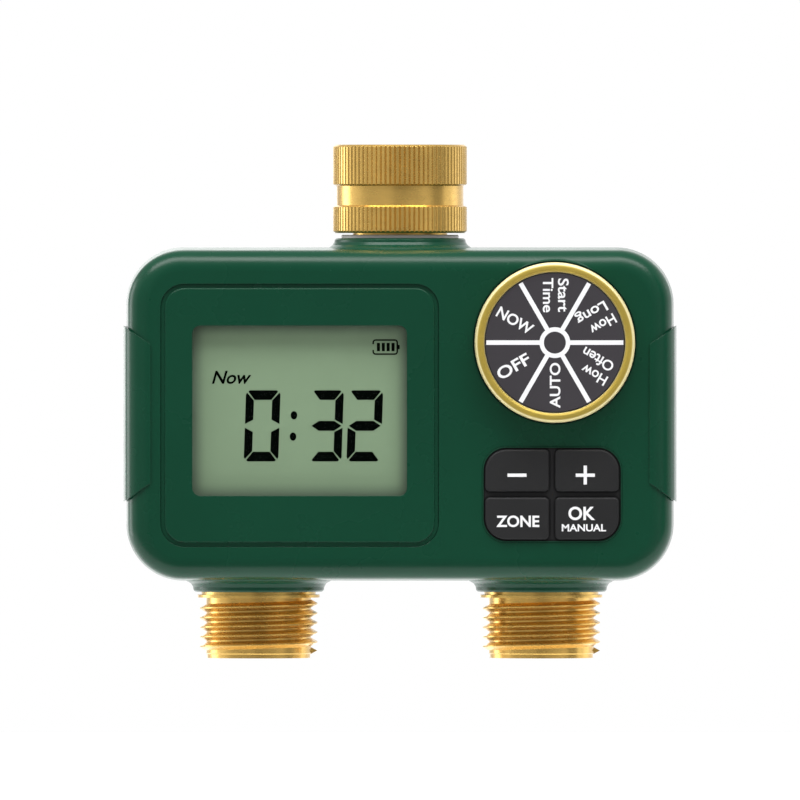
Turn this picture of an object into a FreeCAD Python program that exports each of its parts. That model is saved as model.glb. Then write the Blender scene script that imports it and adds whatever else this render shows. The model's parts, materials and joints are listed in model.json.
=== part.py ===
# Two-outlet hose-tap watering timer, built as separate sub-parts in one frame.
# X to the right of the dial side, -Y out of the front face, +Z up.
# Origin: centre of the inlet hose washer's sealing face, on the inlet axis.
import FreeCAD, Part
import math
import os
import Sketcher

V = FreeCAD.Vector
doc = FreeCAD.newDocument("WateringTimer")
sheet = doc.addObject("Spreadsheet::Sheet", "Params")

# ---------------------------------------------------------------- sizes, mm
SIZES = [
    # housing
    ("case_half_w", 63.2), ("case_top", -13.3), ("case_bot", -90.3), ("case_corner", 13.2),
    ("front_depth", 27.0), ("rear_depth", 35.0), ("wall_t", 2.4), ("front_draft", 1.49),
    ("rear_draft", 1.1), ("front_round", 4.8), ("rear_round", 4.6), ("grip_raise", 0.65),
    ("grip_front", 0.35), ("grip_in_x", 57.4), ("grip_top", -30.5), ("grip_top_in", -35.6),
    ("grip_bot_in", -67.5), ("grip_bot", -73.0), ("boss_r", 3.0), ("rear_boss_r", 4.1),
    ("shank_r", 1.45), ("pilot_r", 1.15), ("head_r", 2.8), ("corner_x", 54.5),
    ("corner_top", -22.8), ("corner_bot", -80.8), ("mid_bot", -82.0), ("mid_top_x", 19.0),
    ("mid_top", -21.9), ("gasket_w", 1.0), ("gasket_t", 0.9), ("gasket_in", 0.75),
    # inlet
    ("inlet_collar_r", 15.1), ("inlet_collar_z", -11.2), ("inlet_flare_r", 16.5),
    ("stem_neck_r", 10.92), ("stem_flange_r", 12.4), ("stem_bore_r", 7.0),
    ("stem_low_r", 12.6), ("stem_low_top", -16.15), ("stem_low_bot", -18.3), ("spigot_r", 9.0),
    ("spigot_bot", -27.0), ("trim_ring_r", 13.55), ("trim_ring_top", -10.4),
    ("nut_r", 15.45), ("nut_groove_r", 14.65), ("nut_top", 10.4), ("nut_bot", -10.0),
    ("nut_band_top", 0.9), ("nut_band_bot", -3.6), ("nut_bore_r", 11.0), ("nut_relief_r", 12.95),
    ("nut_floor", -5.3), ("knurl_depth", 0.34), ("knurl_count", 86.0), ("hose_minor_r", 12.45),
    ("hose_major_r", 13.5), ("hose_pitch", 2.209), ("nut_thread_low", 0.3),
    ("nut_thread_high", 9.7), ("hose_washer_r", 12.5), ("hose_washer_in", 8.0),
    ("hose_washer_t", 3.0),
    # outlets
    ("outlet_x", 32.65), ("outlet_collar_r", 15.05), ("outlet_collar_z", -92.8),
    ("outlet_neck_r", 13.2), ("outlet_flange_r", 14.1), ("outlet_flange_top", -93.5),
    ("outlet_flange_bot", -94.15), ("outlet_root_r", 12.1), ("outlet_lead_r", 11.92),
    ("outlet_crest_r", 13.58),
    ("outlet_thread_top", -95.6), ("outlet_lead_top", -107.2), ("outlet_end", -108.1),
    ("outlet_bore_r", 9.0), ("outlet_cap_r", 14.0), ("outlet_cap_top", -85.5),
    ("outlet_spigot_r", 10.0), ("outlet_spigot_top", -79.9),
    # display
    ("bezel_left", -54.1), ("bezel_right", 7.95), ("bezel_bot", -81.2), ("bezel_top", -22.7),
    ("bezel_corner", 4.5), ("bezel_t", 1.5), ("bezel_gap", 1.0), ("bezel_step", 0.4), ("win_left", -47.8),
    ("win_right", 1.6), ("win_bot", -70.5), ("win_top", -31.3), ("win_corner", 1.9),
    ("lens_lap", 1.5), ("lens_t", 1.05), ("lcd_t", 2.6), ("lcd_front", -24.2),
    # dial
    ("dial_x", 35.6), ("dial_z", -35.2), ("dial_seat_r", 19.2), ("dial_recess_r", 18.8),
    ("dial_ring_r", 18.45), ("dial_ring_in", 16.1), ("dial_skirt_r", 18.1), ("dial_front", -31.0),
    ("dial_face_y", -30.6), ("dial_plate_y", -30.2), ("dial_floor", -25.8), ("dial_back", -26.1),
    ("dial_shaft_r", 3.0), ("dial_shaft_bore", 3.06), ("dial_disc_r", 8.0),
    # buttons
    ("keys_left", 19.6), ("keys_right", 50.4), ("keys_top", -59.8), ("keys_bot", -80.5),
    ("keys_corner", 4.9), ("keys_inner_corner", 1.1), ("keys_groove", 1.37), ("key_front", -27.8),
    ("key_gap", 0.3), ("key_back", -21.8), ("key_stub_r", 2.4), ("key_stub_back", -19.9),
    # board
    ("board_front", -19.0), ("board_t", 1.6), ("board_left", -50.8), ("board_right", 51.0),
    ("board_bot", -78.6), ("board_top", -26.0),
    # water path
    ("tube_r", 7.5), ("tube_bore", 5.2), ("cross_z", -71.0), ("cross_r", 6.5), ("cross_bore", 4.2),
    ("chamber_r", 14.0), ("chamber_bore", 12.0), ("chamber_flange_r", 16.0), ("chamber_top", -63.0),
    ("chamber_floor", -77.0), ("seat_r", 6.5), ("seat_bore", 4.75), ("seat_rim", -65.5),
    ("socket_bore", 10.1), ("socket_r", 12.2), ("socket_bot", -85.2), ("screw_ring_r", 14.1),
    ("bonnet_bot", -62.0), ("bonnet_top", -59.2), ("poppet_r", 7.4), ("core_bore", 4.28),
    ("plunger_r", 4.2), ("coil_r", 11.0), ("coil_bot", -55.0), ("coil_top", -33.5),
    # battery bay
    ("cell_r", 7.2), ("cell_len", 49.4), ("cell_y", 24.0), ("cell_z_a", -46.9), ("cell_z_b", -62.1),
    ("bay_half_w", 28.0), ("bay_top", -38.2), ("bay_bot", -70.9), ("bay_floor", 15.9),
    ("bay_wall", 0.9), ("door_half_w", 31.0), ("door_bot", -74.5), ("door_top", -36.9),
    ("door_gap", 0.4), ("door_t", 1.8), ("hinge_y", 33.4), ("hinge_z", -35.0), ("hinge_r", 1.6),
    ("hinge_pin_r", 0.8), ("hinge_bore_r", 0.86), ("barrel_half", 24.0),
]


class Q:
    """A size: its value and the sheet expression that gives it."""

    def __init__(self, v, e):
        self.v, self.e = float(v), e

    def __add__(a, b):
        b = q(b)
        return Q(a.v + b.v, "(%s + %s)" % (a.e, b.e))

    __radd__ = __add__

    def __sub__(a, b):
        b = q(b)
        return Q(a.v - b.v, "(%s - %s)" % (a.e, b.e))

    def __rsub__(a, b):
        return q(b) - a

    def __mul__(a, b):
        b = q(b)
        return Q(a.v * b.v, "(%s * %s)" % (a.e, b.e))

    __rmul__ = __mul__

    def __truediv__(a, b):
        b = q(b)
        return Q(a.v / b.v, "(%s / %s)" % (a.e, b.e))

    def __neg__(a):
        return Q(-a.v, "(0 - %s)" % a.e)


def q(o):
    if isinstance(o, Q):
        return o
    return Q(o, ("%.6f" % o) if o >= 0 else "(0 - %.6f)" % -o)


class Sizes:
    pass


p = Sizes()
for row, (alias, value) in enumerate(SIZES, start=1):
    sheet.set("A%d" % row, alias.replace("_", " "))
    sheet.set("B%d" % row, "%g" % value)
    sheet.setAlias("B%d" % row, alias)
    setattr(p, alias, Q(value, "Params." + alias))
doc.recompute()

NODES = []
TURN = {"Z": FreeCAD.Rotation(), "Y": FreeCAD.Rotation(V(1, 0, 0), -90),
        "X": FreeCAD.Rotation(V(0, 1, 0), 90)}
count = [0]


def tag(name):
    count[0] += 1
    return "%s_%d" % (name, count[0])


def bind(o, prop, size):
    o.setExpression(prop, q(size).e)


def place(o, x=0, y=0, z=0, axis="Z", rot=None):
    o.Placement = FreeCAD.Placement(V(q(x).v, q(y).v, q(z).v), rot if rot else TURN[axis])
    for ax, s in (("x", x), ("y", y), ("z", z)):
        bind(o, ".Placement.Base." + ax, s)
    return o


def box(x0, x1, y0, y1, z0, z1, name="Block"):
    o = doc.addObject("Part::Box", tag(name))
    bind(o, "Length", q(x1) - x0)
    bind(o, "Width", q(y1) - y0)
    bind(o, "Height", q(z1) - z0)
    return place(o, x0, y0, z0)


def cyl(r, a0, a1, x=0, y=0, z=0, axis="Z", name="Round"):
    """Cylinder from a0 to a1 along the axis; the other two coordinates are its centre."""
    o = doc.addObject("Part::Cylinder", tag(name))
    bind(o, "Radius", r)
    bind(o, "Height", q(a1) - a0)
    pos = {"X": (a0, y, z), "Y": (x, a0, z), "Z": (x, y, a0)}[axis]
    return place(o, pos[0], pos[1], pos[2], axis)


def torus(major, minor, x, y, z, axis="Z", name="Ring"):
    o = doc.addObject("Part::Torus", tag(name))
    bind(o, "Radius1", major)
    bind(o, "Radius2", minor)
    return place(o, x, y, z, axis)


def body_sketch(name, plane):
    b = doc.addObject("PartDesign::Body", tag(name))
    sk = b.newObject("Sketcher::SketchObject", tag(name + "Sketch"))
    ref = [f for f in b.Origin.OriginFeatures if f.Role == plane][0]
    sk.AttachmentSupport = [(ref, "")]
    sk.MapMode = "FlatFace"
    return b, sk


def outline(sk, pts):
    """Closed polygon; every corner is held by sheet expressions."""
    g, n = sk.GeometryCount, len(pts)
    pts = [(q(a), q(b)) for a, b in pts]
    for i in range(n):
        a, b = pts[i], pts[(i + 1) % n]
        sk.addGeometry(Part.LineSegment(V(a[0].v, a[1].v, 0), V(b[0].v, b[1].v, 0)), False)
    for i in range(n):
        sk.addConstraint(Sketcher.Constraint("Coincident", g + i, 2, g + (i + 1) % n, 1))
    for i, (a, b) in enumerate(pts):
        for kind, s in (("DistanceX", a), ("DistanceY", b)):
            k = sk.addConstraint(Sketcher.Constraint(kind, -1, 1, g + i, 1, s.v))
            sk.setExpression("Constraints[%d]" % k, s.e)


def round_rect(sk, x0, x1, z0, z1, radii):
    """Rounded rectangle; radii in the order low-left, low-right, high-right, high-left."""
    if not isinstance(radii, (list, tuple)):
        radii = [radii] * 4
    x0, x1, z0, z1 = q(x0), q(x1), q(z0), q(z1)
    r = [q(a) for a in radii]
    g = sk.GeometryCount

    def line(a, b):
        sk.addGeometry(Part.LineSegment(V(a[0], a[1], 0), V(b[0], b[1], 0)), False)

    def arc(cx, cz, rad, a0):
        c = Part.Circle(V(cx, cz, 0), V(0, 0, 1), rad)
        sk.addGeometry(Part.ArcOfCircle(c, math.radians(a0), math.radians(a0 + 90)), False)

    a, b, c, d = x0.v, x1.v, z0.v, z1.v
    line((a + r[0].v, c), (b - r[1].v, c))
    arc(b - r[1].v, c + r[1].v, r[1].v, -90)
    line((b, c + r[1].v), (b, d - r[2].v))
    arc(b - r[2].v, d - r[2].v, r[2].v, 0)
    line((b - r[2].v, d), (a + r[3].v, d))
    arc(a + r[3].v, d - r[3].v, r[3].v, 90)
    line((a, d - r[3].v), (a, c + r[0].v))
    arc(a + r[0].v, c + r[0].v, r[0].v, 180)
    con = Sketcher.Constraint
    for i in range(8):
        sk.addConstraint(con("Tangent", g + i, 2, g + (i + 1) % 8, 1))
    for i in (0, 4):
        sk.addConstraint(con("Horizontal", g + i))
    for i in (2, 6):
        sk.addConstraint(con("Vertical", g + i))
    for i, s in ((1, r[1]), (3, r[2]), (5, r[3]), (7, r[0])):
        k = sk.addConstraint(con("Radius", g + i, s.v))
        sk.setExpression("Constraints[%d]" % k, s.e)
    for kind, i, s in (("DistanceY", 0, z0), ("DistanceX", 2, x1), ("DistanceY", 4, z1),
                       ("DistanceX", 6, x0)):
        k = sk.addConstraint(con(kind, -1, 1, g + i, 1, s.v))
        sk.setExpression("Constraints[%d]" % k, s.e)


def slab(x0, x1, z0, z1, radii, y_from, y_to, taper=None, round_r=None, name="Slab"):
    """Rounded-rectangle block in the XZ plane, from y_from to y_to."""
    b, sk = body_sketch(name, "XZ_Plane")
    round_rect(sk, x0, x1, z0, z1, radii)
    return pad_on(b, sk, y_from, y_to, taper, round_r, name)


def prism(pts, y_from, y_to, name="Prism"):
    b, sk = body_sketch(name, "XZ_Plane")
    outline(sk, pts)
    return pad_on(b, sk, y_from, y_to, None, None, name)


def pad_on(b, sk, y_from, y_to, taper, round_r, name):
    y_from, y_to = q(y_from), q(y_to)
    f = b.newObject("PartDesign::Pad", tag(name + "Pad"))
    f.Profile = sk
    back = y_to.v > y_from.v
    f.Reversed = back
    bind(f, "Length", (y_to - y_from) if back else (y_from - y_to))
    if taper is not None:
        bind(f, "TaperAngle", -taper)
    place(b, 0, y_from, 0)
    doc.recompute()
    if round_r is not None:
        far = (y_to.v - y_from.v)
        edges = ["Edge%d" % (i + 1) for i, e in enumerate(f.Shape.Edges)
                 if abs(e.BoundBox.YMin - far) < 1e-4 and abs(e.BoundBox.YMax - far) < 1e-4]
        r = b.newObject("PartDesign::Fillet", tag(name + "Round"))
        r.Base = (f, edges)
        bind(r, "Radius", round_r)
        b.Tip = r
        doc.recompute()
    return b


def turned(pts, x=0, y=0, z=0, axis="Z", name="Turned"):
    """Body of revolution from (radius, height) points."""
    b, sk = body_sketch(name, "XZ_Plane")
    outline(sk, pts)
    f = b.newObject("PartDesign::Revolution", tag(name + "Rev"))
    f.Profile = sk
    f.ReferenceAxis = (sk, ["V_Axis"])
    f.Angle = 360
    return place(b, x, y, z, axis)


def helix_on(b, pts, pitch, height, additive, name="Thread"):
    sk = b.newObject("Sketcher::SketchObject", tag(name + "Sketch"))
    ref = [f for f in b.Origin.OriginFeatures if f.Role == "XZ_Plane"][0]
    sk.AttachmentSupport = [(ref, "")]
    sk.MapMode = "FlatFace"
    outline(sk, pts)
    f = b.newObject("PartDesign::AdditiveHelix" if additive else "PartDesign::SubtractiveHelix",
                    tag(name))
    f.Profile = sk
    f.ReferenceAxis = (sk, ["V_Axis"])
    f.Mode = 0
    bind(f, "Pitch", pitch)
    bind(f, "Height", height)
    b.Tip = f
    return b


def groove_on(b, pts, name="Groove"):
    sk = b.newObject("Sketcher::SketchObject", tag(name + "Sketch"))
    ref = [f for f in b.Origin.OriginFeatures if f.Role == "XZ_Plane"][0]
    sk.AttachmentSupport = [(ref, "")]
    sk.MapMode = "FlatFace"
    outline(sk, pts)
    f = b.newObject("PartDesign::Groove", tag(name))
    f.Profile = sk
    f.ReferenceAxis = (sk, ["V_Axis"])
    f.Angle = 360
    b.Tip = f
    return b


def fuse(items, name="Joined"):
    items = [i for i in items if i is not None]
    if len(items) == 1:
        return items[0]
    o = doc.addObject("Part::MultiFuse", tag(name))
    o.Shapes = items
    return o


def cut(base, tools, name="Trimmed"):
    o = doc.addObject("Part::Cut", tag(name))
    o.Base = base
    o.Tool = fuse(tools) if isinstance(tools, (list, tuple)) else tools
    return o


def common(a, b, name="Shared"):
    o = doc.addObject("Part::MultiCommon", tag(name))
    o.Shapes = [a, b]
    return o


def coil_spring(r, wire, z0, z1, turns, x, name="Spring"):
    """Open compression spring with its axis along Z, from z0 to z1."""
    b = doc.addObject("PartDesign::Body", tag(name))
    r, wire, z0, z1 = q(r), q(wire), q(z0), q(z1)
    pts = [(r + wire * math.cos(math.radians(a)), wire + wire * math.sin(math.radians(a)))
           for a in (22.5, 67.5, 112.5, 157.5, 202.5, 247.5, 292.5, 337.5)]
    height = z1 - z0 - wire * 2
    helix_on(b, pts, height / turns, height, True, name)
    return place(b, x, 0, z0)


def node(o, name):
    o.Label = name
    NODES.append(o)
    return o


case_l, case_r = -p.case_half_w, p.case_half_w
LR = (("left", -p.outlet_x), ("right", p.outlet_x))

# ============================================================ housing shells
def shell_outer(sign, depth, draft, rnd):
    """Drafted, rounded half shell on one side of the parting plane."""
    return slab(case_l, case_r, p.case_bot, p.case_top, p.case_corner, 0, depth * sign,
                draft, rnd, "Half")


def shell_cavity(sign, depth, draft, rnd):
    w = p.wall_t
    return slab(case_l + w, case_r - w, p.case_bot + w, p.case_top - w, p.case_corner - w,
                -0.02 * sign, (depth - w) * sign, draft, rnd, "Hollow")


def grips(sign, depth, draft, rnd):
    g = p.grip_raise
    big = slab(case_l - g, case_r + g, p.case_bot - g, p.case_top + g, p.case_corner + g, 0,
               (depth + p.grip_front) * sign, draft, rnd + 0.3, "GripSkin")
    far = (depth + 1) * sign
    pads = []
    for s in (-1, 1):
        pts = [(s * (p.case_half_w + 2), p.grip_top), (s * p.grip_in_x, p.grip_top_in),
               (s * p.grip_in_x, p.grip_bot_in), (s * (p.case_half_w + 2), p.grip_bot)]
        pads.append(prism(pts, 0, far, "GripShape"))
    return common(big, fuse(pads), "Grips")


def collars(y0, y1):
    """The half collars round the inlet and the outlets."""
    c = [turned([(0, p.inlet_collar_z - 4), (0, p.inlet_collar_z),
                 (p.inlet_collar_r - 0.35, p.inlet_collar_z),
                 (p.inlet_collar_r, p.inlet_collar_z - 0.35),
                 (p.inlet_collar_r + 0.1, p.inlet_collar_z - 0.9),
                 (p.inlet_collar_r + 0.5, p.inlet_collar_z - 1.55),
                 (p.inlet_flare_r, p.case_top - 0.1), (p.inlet_flare_r + 0.9, p.case_top - 1.1),
                 (p.inlet_flare_r + 0.9, p.inlet_collar_z - 4)], name="InletCollar")]
    for _, x in LR:
        c.append(turned([(0, p.case_bot + 2), (0, p.outlet_collar_z),
                         (p.outlet_collar_r - 0.35, p.outlet_collar_z),
                         (p.outlet_collar_r, p.outlet_collar_z + 0.35),
                         (p.outlet_collar_r + 0.12, p.outlet_collar_z + 1.1),
                         (p.outlet_collar_r + 0.6, p.outlet_collar_z + 1.9),
                         (p.outlet_collar_r + 1.9, p.case_bot + 0.1),
                         (p.outlet_collar_r + 2.8, p.case_bot + 0.9),
                         (p.outlet_collar_r + 2.8, p.case_bot + 2)], x=x, name="OutletCollar"))
    return common(fuse(c), box(-80, 80, y0, y1, -120, 0), "Collars")


def pipe_bores():
    t = [cyl(p.nut_bore_r, -17, -10, name="InletHole")]
    for _, x in LR:
        t.append(cyl(p.outlet_neck_r + 0.05, -94, -86, x=x, name="OutletHole"))
    return t


SCREWS = [(-p.corner_x, p.corner_top), (p.corner_x, p.corner_top), (-p.corner_x, p.corner_bot),
          (p.corner_x, p.corner_bot), (q(0), p.mid_bot), (-p.mid_top_x, p.mid_top),
          (p.mid_top_x, p.mid_top)]
BOARD_POSTS = [(-40.0, -76.6), (11.0, -76.6), (11.6, -29.4), (49.6, -29.4)]
in_y = -(p.front_depth - p.wall_t)          # inner face of the front wall
out_y = p.rear_depth - p.wall_t             # inner face of the rear wall

outer = fuse([shell_outer(-1, p.front_depth, p.front_draft, p.front_round),
              grips(-1, p.front_depth, p.front_draft, p.front_round), collars(-40, 0),
              turned([(0, -p.front_depth), (p.dial_seat_r - 0.3, -p.front_depth),
                      (p.dial_seat_r, -p.front_depth + 0.3), (p.dial_seat_r, -20), (0, -20)],
                     x=p.dial_x, z=p.dial_z, axis="Y", name="DialSeat")], "FrontOuter")
g = p.bezel_gap
hollow = cut(outer, [
    shell_cavity(-1, p.front_depth, p.front_draft, q(2.6)),
    slab(p.bezel_left - g, p.bezel_right + g, p.bezel_bot - g, p.bezel_top + g, p.bezel_corner + g,
         -(p.front_depth - p.bezel_t), -29, name="BezelRecess"),
    slab(p.win_left - p.lens_lap - 0.1, p.win_right + p.lens_lap + 0.1,
         p.win_bot - p.lens_lap - 0.1, p.win_top + p.lens_lap + 0.1, p.win_corner + 0.6,
         -23, -28, name="LensOpening"),
    cyl(p.dial_recess_r, -29, p.dial_floor, x=p.dial_x, z=p.dial_z, axis="Y", name="DialRecess"),
    slab(p.keys_left - 0.7, p.keys_right + 0.7, p.keys_bot - 0.7, p.keys_top + 0.7,
         p.keys_corner + 0.7, -22, -29, name="KeyOpening")] + pipe_bores(), "FrontHollow")
posts = [cyl(p.boss_r, in_y - 0.5, -0.15, x=x, z=z, axis="Y", name="Boss") for x, z in SCREWS]
posts += [cyl(2.4, in_y - 0.5, p.board_front, x=x, z=z, axis="Y", name="BoardPost")
          for x, z in BOARD_POSTS]
posts.append(cyl(6.5, p.dial_floor + 0.4, -23.4, x=p.dial_x, z=p.dial_z, axis="Y", name="SealBoss"))
holes = [cyl(p.pilot_r, -17, 1, x=x, z=z, axis="Y", name="Pilot") for x, z in SCREWS]
holes += [cyl(0.85, -24, -18, x=x, z=z, axis="Y", name="Pilot") for x, z in BOARD_POSTS]
holes += [cyl(p.dial_shaft_bore, -27, -22, x=p.dial_x, z=p.dial_z, axis="Y", name="ShaftBore"),
          cyl(4.8, -25.15, -22, x=p.dial_x, z=p.dial_z, axis="Y", name="SealPocket")]
node(cut(fuse([hollow] + posts, "FrontPosts"), holes, "Front"), "front_shell")

outer = fuse([shell_outer(1, p.rear_depth, p.rear_draft, p.rear_round),
              grips(1, p.rear_depth, p.rear_draft, p.rear_round), collars(0, 40)], "RearOuter")
hollow = cut(outer, [shell_cavity(1, p.rear_depth, p.rear_draft, q(2.4))] + pipe_bores(),
             "RearHollow")
posts = [cyl(p.rear_boss_r, 0, out_y + 0.5, x=x, z=z, axis="Y", name="Boss") for x, z in SCREWS]
gi, gw = p.gasket_in, p.gasket_w


def gasket_ring(y0, y1, slack):
    v = gi + slack
    a = slab(case_l + v, case_r - v, p.case_bot + v, p.case_top - v, p.case_corner - v, y0, y1,
             name="SealOut")
    w = gi + gw - slack
    b = slab(case_l + w, case_r - w, p.case_bot + w, p.case_top - w, p.case_corner - w, -1, 3,
             name="SealIn")
    ends = [cyl(p.inlet_collar_r - 1.4 + slack, -16, -8)]
    ends += [cyl(p.outlet_collar_r - 0.6 + slack, -94, -84, x=x) for _, x in LR]
    return cut(a, [b] + ends, "SealRing")


holes = [cyl(1.6, -1, 40, x=x, z=z, axis="Y", name="Clear") for x, z in SCREWS]
holes += [cyl(3.1, 29.4, 40, x=x, z=z, axis="Y", name="HeadWell") for x, z in SCREWS]
dg = p.door_gap
open_half = p.door_half_w + dg
holes.append(box(-open_half, open_half, out_y - 3, 40, p.door_bot - dg, p.hinge_z + 2.3,
                 "DoorOpening"))
holes.append(gasket_ring(-0.5, p.gasket_t + 0.05, 0.0))
rear = cut(fuse([hollow] + posts, "RearPosts"), holes, "RearCut")
lugs = []
for s in (-1, 1):
    x0, x1 = (p.barrel_half + 0.4, open_half + 0.5) if s > 0 else (-open_half - 0.5,
                                                                 -p.barrel_half - 0.4)
    lugs.append(cyl(p.hinge_r, x0, x1, y=p.hinge_y, z=p.hinge_z, axis="X", name="Lug"))
    lugs.append(box(x0, x1, p.hinge_y - p.hinge_r, p.hinge_y + p.hinge_r, p.hinge_z,
                    p.hinge_z + 2.6, "LugRoot"))
node(cut(fuse([rear] + lugs, "RearLugs"),
         [cyl(p.hinge_pin_r, -28.5, 28.5, y=p.hinge_y, z=p.hinge_z, axis="X", name="PinHole")],
         "Rear"), "rear_shell")

node(gasket_ring(0.02, p.gasket_t, 0.08), "housing_gasket")
node(fuse([turned([(0, -12), (0.6, -12), (p.shank_r - 0.33, -11), (p.shank_r - 0.33, 0.5),
                   (p.shank_r, 0.5), (p.shank_r, 29.5), (p.head_r, 29.5), (p.head_r, 31.3),
                   (p.head_r - 0.6, 31.9), (1.3, 31.9), (1.3, 30.6), (0, 30.6)],
                  x=x, z=z, axis="Y", name="Screw") for x, z in SCREWS], "Screws"),
     "housing_screws")

# ==================================================================== inlet
n = turned([(p.nut_bore_r, p.nut_bot + 0.4), (p.nut_bore_r + 0.4, p.nut_bot),
            (p.nut_r - 0.55, p.nut_bot), (p.nut_r - 0.02, p.nut_bot + 0.5),
            (p.nut_r - 0.02, p.nut_band_bot - 0.4), (p.nut_groove_r, p.nut_band_bot),
            (p.nut_groove_r, p.nut_band_top), (p.nut_r - 0.02, p.nut_band_top + 0.4),
            (p.nut_r - 0.02, p.nut_top - 0.5), (p.nut_r - 0.55, p.nut_top),
            (p.hose_major_r + 0.25, p.nut_top), (p.hose_minor_r, p.nut_thread_high),
            (p.hose_minor_r, p.nut_thread_low), (p.nut_relief_r, p.nut_thread_low - 0.4),
            (p.nut_relief_r, p.nut_floor), (p.nut_bore_r, p.nut_floor)], name="SwivelNut")
helix_on(n, [(p.hose_minor_r - 0.2, p.nut_thread_low - 1.55),
             (p.hose_minor_r - 0.2, p.nut_thread_low - 0.35),
             (p.hose_major_r, p.nut_thread_low - 0.85), (p.hose_major_r, p.nut_thread_low - 1.05)],
         p.hose_pitch, 12.2, False, "FemaleThread")


def knurl(z0, z1):
    """Band of fine straight flutes."""
    o = doc.addObject("Part::Feature", tag("Knurl"))
    num, ro, dep = int(sheet.knurl_count), float(sheet.nut_r), float(sheet.knurl_depth)
    lo, hi = q(z0).v, q(z1).v
    pts = []
    for i in range(num):
        a = 2 * math.pi * i / num
        st = 2 * math.pi / num
        for f, rr in ((-0.22, ro), (0.22, ro), (0.5, ro - dep)):
            pts.append(V(rr * math.cos(a + f * st), rr * math.sin(a + f * st), 0))
    pts.append(pts[0])
    o.Shape = Part.Face(Part.makePolygon(pts)).extrude(V(0, 0, hi - lo))
    return place(o, 0, 0, z0)


wide = p.nut_r + 3
doc.recompute()
keep = fuse([cyl(p.nut_groove_r + 0.01, p.nut_bot - 1, p.nut_top + 1),
             knurl(p.nut_bot - 0.2, p.nut_band_bot + 0.1),
             knurl(p.nut_band_top - 0.1, p.nut_top + 0.2)], "NutEnvelope")
node(common(n, keep, "Nut"), "inlet_swivel_nut")

node(turned([(p.stem_bore_r, p.spigot_bot), (p.spigot_r - 0.4, p.spigot_bot),
             (p.spigot_r, p.spigot_bot + 0.4), (p.spigot_r, -23.4), (p.spigot_r - 1.35, -23.4),
             (p.spigot_r - 1.35, -21.4), (p.spigot_r, -21.4), (p.spigot_r, p.stem_low_bot),
             (p.stem_low_r, p.stem_low_bot), (p.stem_low_r, p.stem_low_top),
             (p.stem_neck_r, p.stem_low_top), (p.stem_neck_r, -5), (p.stem_flange_r, -5),
             (p.stem_flange_r, -p.hose_washer_t - 0.02), (8.25, -p.hose_washer_t - 0.02),
             (8.25, -4.1), (p.stem_bore_r, -4.1)], name="Stem"), "inlet_stem")
node(turned([(p.stem_neck_r + 0.03, p.inlet_collar_z + 0.01), (p.trim_ring_r, p.inlet_collar_z + 0.01),
             (p.trim_ring_r, p.trim_ring_top - 0.2), (p.trim_ring_r - 0.2, p.trim_ring_top),
             (p.stem_neck_r + 0.03, p.trim_ring_top)], name="TrimWasher"), "inlet_trim_washer")
node(turned([(p.hose_washer_in, -p.hose_washer_t), (p.hose_washer_r, -p.hose_washer_t),
             (p.hose_washer_r, -0.35), (p.hose_washer_r - 0.35, 0), (p.hose_washer_in + 0.35, 0),
             (p.hose_washer_in, -0.35)], name="HoseWasher"), "inlet_hose_washer")
screen = turned([(6.2, -3.25), (8.2, -3.25), (8.2, -3.95), (6.55, -3.95), (3.2, -13), (0, -13),
                 (0, -12.4), (2.8, -12.4), (5.9, -3.95)], name="Screen")
slots = []
for i in range(6):
    s = doc.addObject("Part::Box", tag("Slot"))
    s.Length, s.Width, s.Height = 20, 0.9, 6.5
    place(s, 0, 0, -11.6, rot=FreeCAD.Rotation(V(0, 0, 1), 60 * i))
    slots.append(s)
node(cut(screen, slots, "Strainer"), "inlet_filter_screen")
node(torus(p.spigot_r - 0.64, 0.69, 0, 0, -22.4, name="ORing"), "inlet_o_ring")

# ================================================================== outlets
for side, x in LR:
    b = turned([(p.outlet_bore_r, p.outlet_end + 0.4), (p.outlet_bore_r + 0.4, p.outlet_end),
                (p.outlet_lead_r, p.outlet_end), (p.outlet_lead_r, p.outlet_lead_top),
                (p.outlet_root_r, p.outlet_lead_top + 0.2), (p.outlet_root_r, p.outlet_flange_bot),
                (p.outlet_flange_r, p.outlet_flange_bot), (p.outlet_flange_r, p.outlet_flange_top),
                (p.outlet_neck_r, p.outlet_flange_top), (p.outlet_neck_r, -87.4),
                (p.outlet_cap_r, -87.4), (p.outlet_cap_r, p.outlet_cap_top),
                (p.outlet_spigot_r, p.outlet_cap_top), (p.outlet_spigot_r, -83.6),
                (p.outlet_spigot_r - 1.35, -83.6), (p.outlet_spigot_r - 1.35, -81.6),
                (p.outlet_spigot_r, -81.6), (p.outlet_spigot_r, p.outlet_spigot_top),
                (p.seat_bore + 3.1, p.outlet_spigot_top), (p.seat_bore + 3.1, -86.2),
                (p.outlet_bore_r, -88.2)], x=x, name="Nipple")
    w = p.hose_pitch
    helix_on(b, [(p.outlet_root_r - 0.25, -107.65), (p.outlet_root_r - 0.25, -105.55),
                 (p.outlet_crest_r, -106.46), (p.outlet_crest_r, -106.74)], w, 11.8, True,
             "MaleThread")
    groove_on(b, [(p.outlet_lead_r, p.outlet_lead_top - 1.6), (p.outlet_lead_r, p.outlet_lead_top),
                  (p.outlet_root_r, p.outlet_lead_top + 0.02),
                  (p.outlet_crest_r + 0.3, p.outlet_lead_top + 0.95),
                  (p.outlet_crest_r + 2, p.outlet_lead_top + 0.95),
                  (p.outlet_crest_r + 2, p.outlet_lead_top - 1.6)], "LeadChamfer")
    node(b, "outlet_nipple_" + side)
node(fuse([torus(p.outlet_spigot_r - 0.64, 0.69, x, 0, -82.6, name="ORing") for _, x in LR],
          "ORings"), "outlet_o_rings")

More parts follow.
